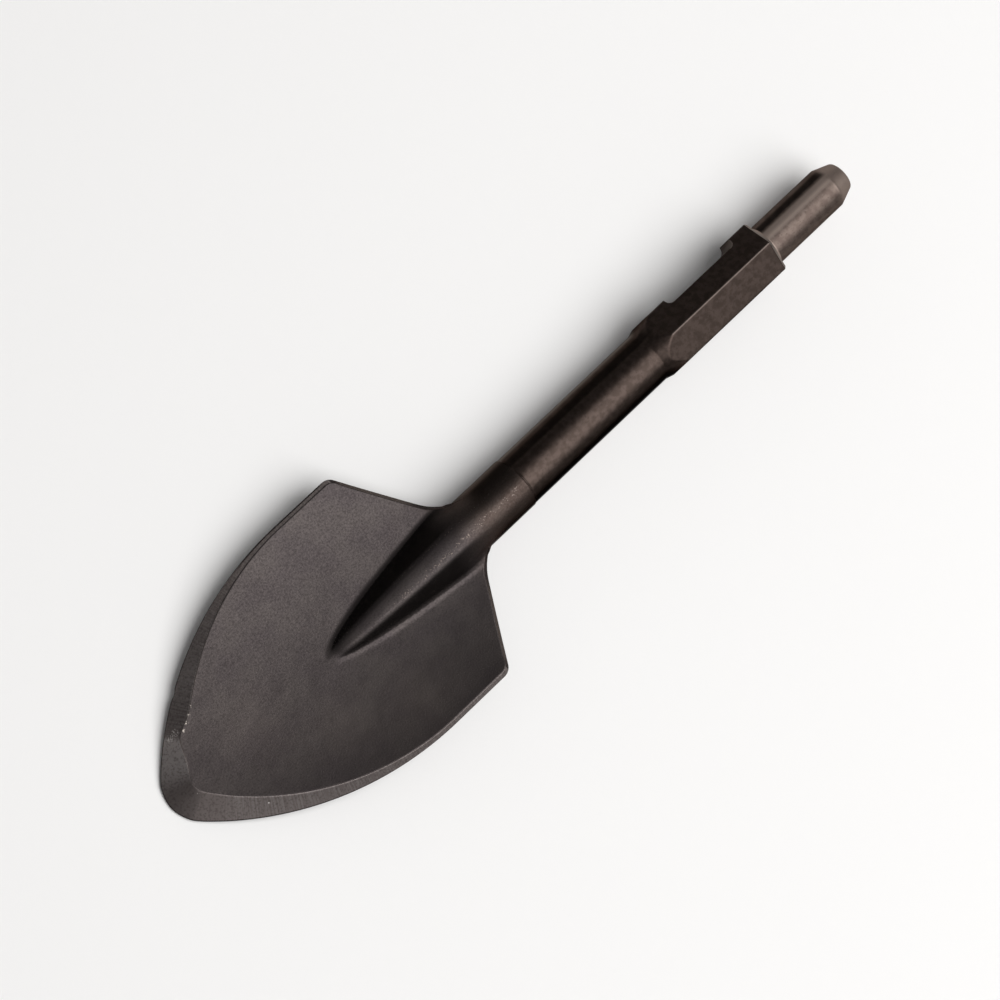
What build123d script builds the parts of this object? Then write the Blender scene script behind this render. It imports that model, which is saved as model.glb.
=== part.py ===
from build123d import *
import math
import os

# Spade chisel for a breaking hammer: one steel forging, drawn in millimetres.
# It is drawn with X running along the shank from the cutting tip (0) to the struck end, Z up out of
# the front face and Y across the blade. At the end it moves so that the origin is the middle of the
# struck end, with +X pointing out of it.

# Overall
total_length = 463.0

# Struck end: a round pin with a coned nose
pin_length = 57.5
pin_diameter = 22.8
pin_end_diameter = 15.6
pin_cone_angle = 20.0
pin_end_rounding = 1.6
pin_root_fillet = 2.4

# Hexagon, with its corners up and down and flats to the sides
hex_across_flats = 30.0
hex_end_diameter = 30.0
hex_end_angle = 30.0
hex_length = 82.0
hex_cone_angle = 14.0

# Retaining notch across the flat on the +Y side
notch_from_hex_end = 12.3
notch_length = 47.0
notch_depth = 3.9
notch_end_radius = 3.2

# Round shank: turned as far as the forging line, forged beyond it
turned_diameter = 27.5
forged_diameter = 28.2
forging_line = 229.5
forging_step_run = 1.2

# Blade outline, seen from the front
blade_width = 127.4
nose_width = 22.8
nose_setback = 3.2
widest_from_tip = 125.8
side_radius = 169.0
side_arc_angle = 28.6
shoulder_from_tip = 161.5
shoulder_angle = 57.4
shoulder_rounding = 4.5
neck_fillet = 34.0
neck_run_in = 17.0
neck_half_width = 9.5

# Blade section: the front is hollow across, the back is rounded, both flatter towards the tip
front_height_at_neck = 2.0
blade_decline = 2.2
tip_thickness = 6.0
neck_thickness = 8.6
front_radius_tip = 480.0
front_radius_neck = 315.0
back_radius_tip = 400.0
back_radius_neck = 245.0

# Ground edge: wide and thin at the nose, a plain edge break from the widest point to the shoulders
nose_bevel = 14.2
side_bevel = 2.1
bevel_fade = 1.85
nose_land = 1.2
side_land = 4.0

# Ridges that carry the shank out onto the blade
front_ridge_point = 106.5
ridge_start_before_neck = 6.5
back_ridge_angle = 7.5
crown_bend_radius = 40.0
ridge_root_fillet = 2.8

# Values worked out from the sizes above
half_width = blade_width / 2
forged_radius = forged_diameter / 2
turned_radius = turned_diameter / 2
hex_start = total_length - pin_length - hex_length
hex_end = total_length - pin_length
corner_radius = hex_across_flats / math.sqrt(3)
cone_length = (corner_radius - turned_radius) / math.tan(math.radians(hex_cone_angle))
decline_slope = math.tan(math.radians(blade_decline))
shoulder_run = (half_width - forged_radius) / math.tan(math.radians(shoulder_angle))
neck_corner_from_tip = shoulder_from_tip + shoulder_run
neck_from_tip = neck_corner_from_tip - ridge_start_before_neck
tool_margin = 20.0
face_tolerance = 0.2
wedge_overrun = 0.35


def blend(start, end, x):
    # Straight blend from a size at the tip to a size at the neck
    return start + (end - start) * x / neck_from_tip


def sagitta(radius, y):
    return radius - math.sqrt(radius * radius - y * y)


def front_height(x, y):
    middle = front_height_at_neck - decline_slope * (neck_from_tip - x)
    rise_tip = sagitta(front_radius_tip, y)
    rise_neck = sagitta(front_radius_neck, y)
    return middle + blend(rise_tip, rise_neck, x)


def back_height(x, y):
    middle = front_height(x, 0) - blend(tip_thickness, neck_thickness, x)
    rise_tip = sagitta(back_radius_tip, y)
    rise_neck = sagitta(back_radius_neck, y)
    return middle + blend(rise_tip, rise_neck, x)


def blade_section(x):
    # Section across the blade at one distance from the tip, wider than the blade
    reach = half_width + tool_margin / 2
    front_side = (x, reach, front_height(x, reach))
    front_middle = (x, 0, front_height(x, 0))
    front_other = (x, -reach, front_height(x, reach))
    back_side = (x, reach, back_height(x, reach))
    back_middle = (x, 0, back_height(x, 0))
    back_other = (x, -reach, back_height(x, reach))
    edges = [
        ThreePointArc(front_side, front_middle, front_other),
        Line(front_other, back_other),
        ThreePointArc(back_other, back_middle, back_side),
        Line(back_side, front_side),
    ]
    return Face(Wire(edges))


def half_outline():
    # Nose, ground side and straight side of the +Y half, from the tip to the shoulder
    widest = (widest_from_tip, half_width)
    nose_corner = (nose_setback, nose_width / 2)
    nose = ThreePointArc((nose_setback, -nose_width / 2), (0, 0), nose_corner)
    rear_side = JernArc(widest, (-1, 0), side_radius, side_arc_angle)
    front_side = TangentArc(rear_side @ 1, nose_corner, tangent=rear_side % 1)
    straight_side = Line(widest, (shoulder_from_tip, half_width))
    return nose, front_side, rear_side, straight_side


def corners_at(outline, x):
    return outline.vertices().filter_by_position(Axis.X, x - face_tolerance, x + face_tolerance)


def blade_outline():
    nose, front_side, rear_side, straight_side = half_outline()
    neck = (neck_corner_from_tip, forged_radius)
    inside = (neck_corner_from_tip + neck_run_in, neck_half_width)
    shoulder = Line(straight_side @ 1, neck)
    run_in = Line(neck, inside)
    half = [front_side, rear_side, straight_side, shoulder, run_in]
    other_half = [edge.mirror(Plane.XZ) for edge in half]
    close = Line(inside, (inside[0], -inside[1]))
    outline = make_face([nose, *half, close, *other_half])
    outline = fillet(corners_at(outline, shoulder_from_tip), shoulder_rounding)
    return fillet(corners_at(outline, neck_corner_from_tip), neck_fillet)


def bevel_share(x):
    # 1 at the nose, falling to 0 where the blade is widest
    return max(0.0, 1 - x / widest_from_tip)


def bevel_section(point, tangent):
    # Wedge of steel ground away at one place on the outline. The wedge's underside runs from the
    # land at the edge up to the front face, and on a little past both.
    inward = Vector(tangent.Y, -tangent.X, 0)
    width = side_bevel + (nose_bevel - side_bevel) * bevel_share(point.X) ** bevel_fade
    land = side_land + (nose_land - side_land) * bevel_share(point.X)
    inner = point + inward * width
    edge_height = back_height(point.X, point.Y) + land
    rise = front_height(inner.X, inner.Y) - edge_height
    edge = point + Vector(0, 0, edge_height)
    across = inward * width + Vector(0, 0, rise)
    low = edge - across * wedge_overrun
    high = edge + across * (1 + wedge_overrun)
    above = Vector(low.X, low.Y, high.Z + rise)
    return Face(Wire.make_polygon([low, high, above]))


def ground_edge():
    # The nose is one pass of the wheel and each side is another, so they meet in a mitre
    nose, front_side, rear_side, straight_side = half_outline()
    nose_stations = (-0.05, 0.25, 0.5, 0.75, 1.05)
    front_side_stations = (1.08, 0.9, 0.65, 0.4, 0.15)
    rear_side_stations = (0.85, 0.6, 0.35, 0.0)
    straight_side_stations = (0.5, 1.2)
    nose_sections = [bevel_section(nose @ t, nose % t) for t in nose_stations]
    side_sections = [
        bevel_section(front_side @ t, front_side % t * -1) for t in front_side_stations
    ]
    side_sections += [bevel_section(rear_side @ t, rear_side % t * -1) for t in rear_side_stations]
    side_sections += [
        bevel_section(straight_side @ t, straight_side % t) for t in straight_side_stations
    ]
    nose_cut = loft(nose_sections)
    side_cut = loft(side_sections)
    return nose_cut + side_cut + side_cut.mirror(Plane.XZ)


def blade():
    plate = loft([blade_section(-tool_margin), blade_section(neck_from_tip + 2 * tool_margin)])
    outline = Pos(0, 0, -2 * tool_margin) * blade_outline()
    return (plate & extrude(outline, 4 * tool_margin)) - ground_edge()


def shank_profile():
    # Half section of everything turned or forged round, from inside the blade to the struck end
    cone_run = (pin_diameter - pin_end_diameter) / 2 / math.tan(math.radians(pin_cone_angle))
    points = [
        (neck_from_tip, 0),
        (neck_from_tip, forged_radius),
        (forging_line, forged_radius),
        (forging_line + forging_step_run, turned_radius),
        (hex_start, turned_radius),
        (hex_end, turned_radius),
        (hex_end, pin_diameter / 2),
        (total_length - cone_run, pin_diameter / 2),
        (total_length, pin_end_diameter / 2),
        (total_length, 0),
    ]
    return Plane.XZ * make_face(Polyline(points, close=True))


def round_shank():
    shank = revolve(shank_profile(), Axis.X)
    end_edge = shank.edges().filter_by(GeomType.CIRCLE).sort_by(Axis.X)[-1]
    return fillet(end_edge, pin_end_rounding)


def front_ridge_angle():
    # Slope that brings the crown of the shank down onto the front face at the ridge's point
    drop = forged_radius - front_height(front_ridge_point, 0)
    return math.atan(drop / (neck_from_tip - front_ridge_point))


def oblique_bar(angle):
    # Round bar of the shank's size that leaves the shank at a slope, towards the tip
    disc = Plane.YZ * Circle(forged_radius)
    disc = Pos(neck_from_tip, 0, 0) * disc
    reach = neck_from_tip - front_ridge_point + tool_margin
    return extrude(disc, reach / math.cos(angle), dir=(-math.cos(angle), 0, math.sin(angle)))


def ridges():
    # The shank is drawn down to a wedge: one crown slopes onto the front and one onto the back
    front = oblique_bar(-front_ridge_angle())
    back = oblique_bar(math.radians(back_ridge_angle))
    return front & back


def hexagon():
    # Hexagonal bar, turned to a cone where it meets the shank and chamfered at the struck side
    bar = extrude(Plane.YZ * RegularPolygon(corner_radius, 6, rotation=90), hex_end - hex_start)
    bar = Pos(hex_start, 0, 0) * bar
    chamfer_run = (corner_radius - hex_end_diameter / 2) * math.tan(math.radians(hex_end_angle))
    points = [
        (hex_start, 0),
        (hex_start, turned_radius),
        (hex_start + cone_length, corner_radius),
        (hex_end - chamfer_run, corner_radius),
        (hex_end, hex_end_diameter / 2),
        (hex_end, 0),
    ]
    envelope = revolve(Plane.XZ * make_face(Polyline(points, close=True)), Axis.X)
    return bar & envelope


def notch():
    # Slot milled across one flat, its floor rising to the flat in an arc at each end
    floor = hex_across_flats / 2 - notch_depth
    ceiling = hex_across_flats / 2 + tool_margin
    end = hex_end - notch_from_hex_end
    start = end - notch_length
    window = make_face(
        Polyline([(start, floor), (end, floor), (end, ceiling), (start, ceiling)], close=True)
    )
    low_corners = window.vertices().group_by(Axis.Y)[0]
    window = fillet(low_corners, min(notch_end_radius, notch_depth))
    return extrude(Pos(0, 0, -tool_margin) * window, 2 * tool_margin)


def root_edges(body, height):
    # Where a ridge meets one face of the blade: all of the edge lies on that face, beside the shank
    def wanted(edge):
        places = [edge @ t for t in (0, 0.1, 0.5, 0.9, 1)]
        on_face = all(abs(place.Z - height(place.X, place.Y)) < face_tolerance for place in places)
        beside = all(abs(place.Y) < forged_radius for place in places)
        off_nose = all(place.X > front_ridge_point - face_tolerance for place in places)
        return on_face and beside and off_nose

    return [edge for edge in body.edges() if wanted(edge)]


def pin_root(body):
    # Circle where the pin stands on the end of the hexagon
    circles = body.edges().filter_by(GeomType.CIRCLE)
    on_end = circles.filter_by_position(Axis.X, hex_end - face_tolerance, hex_end + face_tolerance)
    return on_end.sort_by(SortBy.RADIUS)[0]


def crown_bends(body):
    # Arcs over the top and under the belly where the shank bends down to the ridges
    circles = body.edges().filter_by(GeomType.CIRCLE)
    low, high = neck_from_tip - face_tolerance, neck_from_tip + face_tolerance
    return circles.filter_by_position(Axis.X, low, high)


def chisel():
    body = blade() + ridges() + round_shank() + hexagon() - notch()
    body = fillet(pin_root(body), pin_root_fillet)
    body = fillet(crown_bends(body), crown_bend_radius)
    roots = root_edges(body, front_height) + root_edges(body, back_height)
    return fillet(roots, ridge_root_fillet)


tool = Pos(-total_length, 0, 0) * chisel()
os.makedirs("parts", exist_ok=True)
export_step(tool, "parts/spade_chisel.step")
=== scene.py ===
import math
import bpy
import numpy as np
from mathutils import Matrix, Vector


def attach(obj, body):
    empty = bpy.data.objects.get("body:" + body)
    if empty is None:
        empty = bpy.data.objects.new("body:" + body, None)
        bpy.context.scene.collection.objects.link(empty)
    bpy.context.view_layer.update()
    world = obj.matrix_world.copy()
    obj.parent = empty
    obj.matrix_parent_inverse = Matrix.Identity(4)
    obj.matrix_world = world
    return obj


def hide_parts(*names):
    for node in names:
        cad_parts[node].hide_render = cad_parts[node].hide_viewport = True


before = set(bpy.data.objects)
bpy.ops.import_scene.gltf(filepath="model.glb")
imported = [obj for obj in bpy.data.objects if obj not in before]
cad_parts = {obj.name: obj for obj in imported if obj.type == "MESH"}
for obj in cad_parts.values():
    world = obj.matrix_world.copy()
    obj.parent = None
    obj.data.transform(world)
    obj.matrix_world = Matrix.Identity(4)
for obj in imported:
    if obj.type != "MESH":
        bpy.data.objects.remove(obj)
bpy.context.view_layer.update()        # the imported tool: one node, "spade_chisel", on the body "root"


# The tool's own sizes, in millimetres and degrees, with x running from the cutting tip to the struck end
tool = {
    "length": 463.0,
    "pinLength": 57.5, "pinRadius": 11.4, "pinEndRadius": 7.8, "pinCone": 20.0,
    "pinEndRounding": 1.6, "pinRootFillet": 2.4,
    "flatDistance": 15.0, "hexLength": 82.8, "hexCone": 16.0, "hexEndRadius": 15.0, "hexEndAngle": 30.0,
    "notchFromEnd": 12.3, "notchLength": 47.0, "notchDepth": 3.9, "notchRounding": 3.2,
    "turnedRadius": 13.75, "forgedRadius": 14.1,
    "forgingLine": 229.5, "forgingStep": 1.2, "forgingDepth": 0.2,
    "halfWidth": 63.7, "noseHalf": 11.4, "noseSetback": 3.2, "widest": 125.8,
    "sideRadius": 169.0, "sideAngle": 28.6, "shoulder": 161.5, "shoulderAngle": 57.4,
    "shoulderRounding": 6.5, "neckFillet": 34.0, "neckRun": 17.0, "neckInner": 9.5,
    "frontAtNeck": 2.0, "decline": 2.2, "tipThickness": 6.0, "neckThickness": 8.6,
    "frontRadiusTip": 480.0, "frontRadiusNeck": 315.0, "backRadiusTip": 400.0, "backRadiusNeck": 245.0,
    "noseBevel": 14.2, "sideBevel": 2.1, "bevelFade": 1.85, "noseLand": 1.2, "sideLand": 4.0,
    "ridgePoint": 106.5, "backRidgeAngle": 7.5, "ridgeBeforeNeck": 6.5, "rootFillet": 2.8,
    "rimRounding": 2.0,      # worn front edge of the shoulders
    "edgeRounding": 0.5, "shoulderRound": 0.7, "backRounding": 0.7,      # of the web's two edges
    "crownBend": 3.5,        # half the length over which the crown bends
    # the front ridge as forged: a crowned top between two steep flanks, spreading towards the shank
    "roofPoint": 103.5, "roofHeight": 12.1, "roofRise": 0.7, "roofRoot": 18.0, "roofSpread": 0.5,
    "roofCrest": 6.1, "roofOpening": 0.36, "roofCrown": 27.0, "roofEdge": 1.5, "roofFillet": 1.9,
    "roofSettle": 3.5,       # length over which its point rises out of the blade
    "roofDive": 0.35,        # slope at which it dives under the blade ahead of the point
    "roofEnds": (178.0, 203.0),      # where it turns into the round shank
}


def slopeOf(degrees):
    return math.tan(math.radians(degrees))


tool["neckCorner"] = tool["shoulder"] + (
    tool["halfWidth"] - tool["forgedRadius"]) / slopeOf(tool["shoulderAngle"])
tool["neck"] = tool["neckCorner"] - tool["ridgeBeforeNeck"]
tool["hexEnd"] = tool["length"] - tool["pinLength"]
tool["hexStart"] = tool["hexEnd"] - tool["hexLength"]
tool["hexCorner"] = tool["flatDistance"] / math.cos(math.radians(30))


def smoothStep(low, high, x):
    t = np.clip((x - low) / (high - low), 0.0, 1.0)
    return t * t * (3 - 2 * t)


def smoothBand(low, full, fading, end, x):
    # Rises softly from low to full, and falls from fading to end
    return smoothStep(low, full, x) * (1 - smoothStep(fading, end, x))


def softMinimum(a, b, soft):
    # The smaller of two heights, with a soft change, and the share of the second in it
    share = np.clip(0.5 + 0.5 * (a - b) / soft, 0, 1)
    return a + (b - a) * share - soft * share * (1 - share), share


# The blade's faces and its ridges
def sagitta(radius, y):
    return radius - np.sqrt(radius * radius - y * y)


def blend(atTip, atNeck, x):
    return atTip + (atNeck - atTip) * x / tool["neck"]


def frontHeight(x, y):
    middle = tool["frontAtNeck"] - slopeOf(tool["decline"]) * (tool["neck"] - x)
    return middle + blend(sagitta(tool["frontRadiusTip"], y), sagitta(tool["frontRadiusNeck"], y), x)


def backHeight(x, y):
    middle = frontHeight(x, 0 * y) - blend(tool["tipThickness"], tool["neckThickness"], x)
    return middle + blend(sagitta(tool["backRadiusTip"], y), sagitta(tool["backRadiusNeck"], y), x)


frontRidgeSlope = (tool["forgedRadius"] - frontHeight(tool["ridgePoint"], 0.0)) / (
    tool["neck"] - tool["ridgePoint"])
backRidgeSlope = slopeOf(tool["backRidgeAngle"])


def ridgeWidths(x, least):
    # Half widths of the forged ridge's crest and root, and how far x is from the point to the neck
    t = np.clip((x - tool["roofPoint"]) / (tool["neck"] - tool["roofPoint"]), least, 1.15)
    return tool["roofCrest"] * t ** tool["roofOpening"], tool["roofRoot"] * t ** tool["roofSpread"], t


def roofSection(x, y):
    # Height of the forged ridge over the blade's middle line, and its slope across
    crest, root, t = ridgeWidths(x, 1e-4)
    past = np.maximum(x - tool["roofPoint"], 0)
    height = tool["roofHeight"] * t ** tool["roofRise"] * (1 - np.exp(-past / tool["roofSettle"]))
    height = height - np.clip(tool["roofPoint"] - x, 0, 20) * tool["roofDive"]
    slope = np.maximum(height, 0.3) / np.maximum(root - crest, 1.0)
    top = height - y * y / (2 * tool["roofCrown"])
    side = height - crest * crest / (2 * tool["roofCrown"]) - (y - crest) * slope
    level, share = softMinimum(side, top, tool["roofEdge"] * slope)
    return level, (1 - share) * slope + share * y / tool["roofCrown"]


def crownDrop(x, slope):
    # How far the crown has come down at x: level on the shank, a soft bend, then the slope
    run = tool["neck"] - x
    soft = tool["crownBend"]
    return slope * np.where(run < -soft, 0, np.where(run > soft, run, (run + soft) ** 2 / (4 * soft)))


def rootedHeight(plate, ceiling, root, toForm):
    # Height of a plate and the form that stands on it, with a round root, found by halving the gap
    low, high = plate - 0.2, ceiling + root + 1
    for _ in range(34):
        middle = (low + high) / 2
        toPlate, toRidge = middle - plate, toForm(middle)
        outside = np.maximum(root, np.minimum(toPlate, toRidge)) - np.hypot(
            np.maximum(root - toPlate, 0), np.maximum(root - toRidge, 0))
        low, high = np.where(outside < 0, middle, low), np.where(outside < 0, high, middle)
    return (low + high) / 2


def roofSurface(x, y):
    # The blade's front with the forged ridge
    y = np.abs(y)
    plate = frontHeight(x, y)
    level, across = roofSection(x, y)
    level = level + frontHeight(x, 0 * y)
    root = 1.0 + (tool["roofFillet"] - 1.0) * np.clip((x - tool["roofPoint"]) / 30, 0, 1)
    tilt = 1 / np.sqrt(1 + across * across)
    return rootedHeight(plate, np.maximum(plate, level), root, lambda height: (height - level) * tilt)


def ridgeSurface(x, y, sign):
    # The blade's front (sign 1) or back (sign -1) with the plain round ridge
    plate = sign * (frontHeight(x, y) if sign > 0 else backHeight(x, y))
    centre = -crownDrop(x, frontRidgeSlope if sign > 0 else backRidgeSlope)
    radius = tool["forgedRadius"]
    return sign * rootedHeight(plate, np.maximum(plate, centre + radius), tool["rootFillet"],
                               lambda height: np.sqrt(y * y + (height - centre) ** 2) - radius)


def frontSurface(x, y):
    # The forged ridge, turning into the round shank past the roof's end
    roof = roofSurface(x, y)
    return roof + (ridgeSurface(x, y, 1) - roof) * smoothStep(*tool["roofEnds"], x)


# The blade's outline, as one dense line from the tip round one side to the shank
def arc(centre, radius, start, end, count):
    angles = np.linspace(start, end, count)
    return np.column_stack((centre[0] + radius * np.cos(angles), centre[1] + radius * np.sin(angles)))


def roundedCorner(before, corner, after, radius, count):
    toBefore = (before - corner) / np.linalg.norm(before - corner)
    toAfter = (after - corner) / np.linalg.norm(after - corner)
    halfAngle = math.acos(float(np.clip(toBefore @ toAfter, -1, 1))) / 2
    bisector = (toBefore + toAfter) / np.linalg.norm(toBefore + toAfter)
    centre = corner + bisector * radius / math.sin(halfAngle)
    first = corner + toBefore * radius / math.tan(halfAngle) - centre
    last = corner + toAfter * radius / math.tan(halfAngle) - centre
    start = math.atan2(first[1], first[0])
    turn = (math.atan2(last[1], last[0]) - start + math.pi) % (2 * math.pi) - math.pi
    return arc(centre, radius, start, start + turn, count)


def bladeOutline():
    corner = np.array([tool["noseSetback"], tool["noseHalf"]])
    noseRadius = (corner[1] ** 2 + corner[0] ** 2) / (2 * corner[0])
    nose = arc((noseRadius, 0), noseRadius, math.pi, math.pi - math.asin(corner[1] / noseRadius), 40)
    angle = math.radians(tool["sideAngle"])
    rearCentre = np.array([tool["widest"], tool["halfWidth"] - tool["sideRadius"]])
    rear = arc(rearCentre, tool["sideRadius"], math.pi / 2 + angle, math.pi / 2, 120)
    inward = np.array([math.sin(angle), -math.cos(angle)])
    across = corner - rear[0]
    frontRadius = (across @ across) / (2 * inward @ across)
    frontCentre = rear[0] + inward * frontRadius
    ends = [math.atan2(*(p - frontCentre)[::-1]) for p in (corner, rear[0])]
    front = arc(frontCentre, frontRadius, ends[0], ends[1], 120)
    shoulder = np.array([tool["shoulder"], tool["halfWidth"]])
    neck = np.array([tool["neckCorner"], tool["forgedRadius"]])
    inside = np.array([tool["neckCorner"] + tool["neckRun"], tool["neckInner"]])
    shoulderArc = roundedCorner(rear[-1], shoulder, neck, tool["shoulderRounding"], 24)
    neckArc = roundedCorner(shoulder, neck, inside, tool["neckFillet"], 60)
    line = [nose, front[1:], rear[1:]]
    line += [np.linspace(rear[-1], shoulderArc[0], 40)[1:], shoulderArc[1:]]
    line += [np.linspace(shoulderArc[-1], neckArc[0], 60)[1:], neckArc[1:]]
    line += [np.linspace(neckArc[-1], inside, 20)[1:]]
    return np.vstack(line)


outline = bladeOutline()
outlineRun = np.concatenate(([0], np.cumsum(np.hypot(*np.diff(outline, axis=0).T))))


def runAt(x):
    # Distance along the outline at which it reaches x, which it does once on this side
    return float(np.interp(x, outline[:, 0], outlineRun))


def placeAt(run):
    return np.array([np.interp(run, outlineRun, outline[:, k]) for k in (0, 1)])


noseCorner = runAt(tool["noseSetback"])
print("outline", round(float(outlineRun[-1]), 1), "mm a side")


# The mesh: rows round the blade's outline, then rings along the shank
meshSizes = {
    "rowSpacing": 1.25,      # between rows round the blade
    "top": 48, "bevel": 10,  # columns from the middle line to the ground band, and across the band
    "wall": 14, "back": 30,  # columns round the edge, and over the back
    "ridgeZone": 20.0, "ridgeShare": 1.7,    # columns are closer this far from the middle line
    "hold": 0.35,            # rows and columns this close hold an edge crisp
    "softHold": 0.8,         # and these leave the band's inner line a little soft
    "webEnd": 206.0,         # where the blade's web has run out into the shank
    "webRound": 88.5,        # degrees of the round that a section's front and back share
}
half = meshSizes["top"] + meshSizes["bevel"] + meshSizes["wall"] + meshSizes["back"]
topEnd = meshSizes["top"] + meshSizes["bevel"]
columns = np.arange(half + 1)

# A row that leaves the outline at the first x starts on the middle line at the second
feet = {0: 18.5, tool["noseSetback"]: 23.0, 20: 40.0, 45: 62.5, 75: 84.0, 100: 101.5, 110: 110.0}
footRuns, footPlaces = [runAt(x) for x in feet], list(feet.values())

facet = {
    # on the notched side the nose's facet runs on past the corner, and a narrower facet follows
    "place": 20.0, "length": 8.5, "narrowing": 4.0, "narrowsOver": (-12, 1),
    "softCorner": 7.5,       # millimetres over which the wheel blends nose and side
    "blendEnds": (10, 18),   # and where that ends behind the corner
    "softOutline": 0.6,      # share of that blend left at the cutting edge itself
}
nick = {
    # a blow has pushed in one side edge of the blade, this far from the cutting tip
    "place": 37.5, "width": 2.0, "depth": 0.6, "reach": 1.6, "drag": 0.4,
}


def spread(total, count, first, last):
    # Positions of count steps over a length, with a short first and last step
    first, last = min(first, total / count), min(last, total / count)
    return np.concatenate(([0], np.linspace(first, total - last, count - 1), [total]))


def along(points, positions):
    run = np.concatenate(([0], np.cumsum(np.linalg.norm(np.diff(points, axis=0), axis=1))))
    positions = np.asarray(positions) * run[-1]
    return np.column_stack([np.interp(positions, run, points[:, k]) for k in range(points.shape[1])])


def lengthOf(points):
    return float(np.linalg.norm(np.diff(points, axis=0), axis=1).sum())


def roundEdge(corner, before, after, radius, count):
    # The corner of a section, turned over a small radius; points in (inward, height)
    toBefore, toAfter = before - corner, after - corner
    lengths = np.linalg.norm(toBefore), np.linalg.norm(toAfter)
    toBefore, toAfter = toBefore / lengths[0], toAfter / lengths[1]
    halfSlope = math.tan(math.acos(float(np.clip(toBefore @ toAfter, -1, 1))) / 2)
    radius = min(radius / halfSlope, 0.45 * lengths[0], 0.45 * lengths[1]) * halfSlope
    return roundedCorner(corner + toBefore, corner, corner + toAfter, max(radius, 1e-4), count)


def rowDirection(run):
    # A row's place on the outline, its foot on the middle line, its direction and length, and how
    # squarely it crosses the edge
    place, ahead, behind = placeAt(run), placeAt(run + 0.2), placeAt(run - 0.2)
    if run < 0.2:
        behind = ahead * np.array([1, -1])
    if abs(run - noseCorner) < 0.2:
        behind = place if run > noseCorner else behind
        ahead = place if run <= noseCorner else ahead
    tangent = (ahead - behind) / np.linalg.norm(ahead - behind)
    foot = np.array([np.interp(run, footRuns, footPlaces) if run < footRuns[-1] else place[0], 0.0])
    reach = float(np.linalg.norm(foot - place))
    line = (foot - place) / reach
    return place, foot, line, reach, max(float(line @ np.array([tangent[1], -tangent[0]])), 0.3)


def bandSizes(x, y, side):
    # Width of the ground band, height of its outer edge, and how far the row is past the shoulder
    share = max(0.0, 1 - x / tool["widest"])
    width = tool["sideBevel"] + (tool["noseBevel"] - tool["sideBevel"]) * share ** tool["bevelFade"]
    land = tool["sideLand"] + (tool["noseLand"] - tool["sideLand"]) * share
    high, low = frontHeight(x, y), backHeight(x, y)
    if side > 0:
        after = x - facet["place"]
        past = max(0.0, after) / facet["length"]
        width -= facet["narrowing"] * smoothStep(*facet["narrowsOver"], after) * math.exp(-past * past)
    pastShoulder = smoothStep(tool["shoulder"] - 2.5, tool["shoulder"] + 2.5, x)
    width += (tool["rimRounding"] - width) * pastShoulder
    edge = low + land
    return width, edge + (high - tool["rimRounding"] - edge) * pastShoulder, pastShoulder


def roundSides(points, x):
    # Near the shank the web's side wall gives way to the round of the shank, in a soft flare
    if x < tool["neck"]:
        return points
    roundSide = np.sqrt(np.maximum(tool["forgedRadius"] ** 2 - points[:, 2] ** 2, 0))
    soft = 0.9
    gap = np.clip(0.5 + 0.5 * (roundSide - points[:, 1]) / soft, 0, 1)
    flared = points[:, 1] * (1 - gap) + roundSide * gap + soft * gap * (1 - gap)
    out = points.copy()
    out[:, 1] += (flared - points[:, 1]) * smoothStep(tool["neck"], tool["neck"] + 4, x)
    return out


def topPositions(front, across, bandLength, x):
    # Where the columns fall over front and band, as shares: closer over the ridge and by the band's edges
    hold, softHold, frontLength = meshSizes["hold"], meshSizes["softHold"], lengthOf(front)
    total = frontLength + bandLength
    apart = np.linalg.norm(np.diff(front, axis=0), axis=1)
    near = np.clip((meshSizes["ridgeZone"] + 2 - (across[1:] + across[:-1]) / 2) / 4, 0, 1)
    weight = apart * (1 + meshSizes["ridgeShare"] * smoothStep(90, 112, x) * near)
    runSoFar = np.concatenate(([0], np.cumsum(apart)))
    gone = np.concatenate(([0], np.cumsum(weight)))
    steps = np.interp(np.linspace(0, 1, meshSizes["top"] + 1) * gone[-1], gone, runSoFar)
    steps[-2] = max(frontLength - softHold, (steps[-3] + frontLength) / 2)
    firstStep = min(softHold, bandLength / meshSizes["bevel"])
    onBand = frontLength + spread(bandLength, meshSizes["bevel"], firstStep, hold)
    steps = np.concatenate((steps / total, onBand[1:] / total))
    even = np.linspace(0, 1, topEnd + 1)
    return steps + (even - steps) * smoothStep(tool["neck"] - 4, meshSizes["webEnd"], x)


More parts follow.
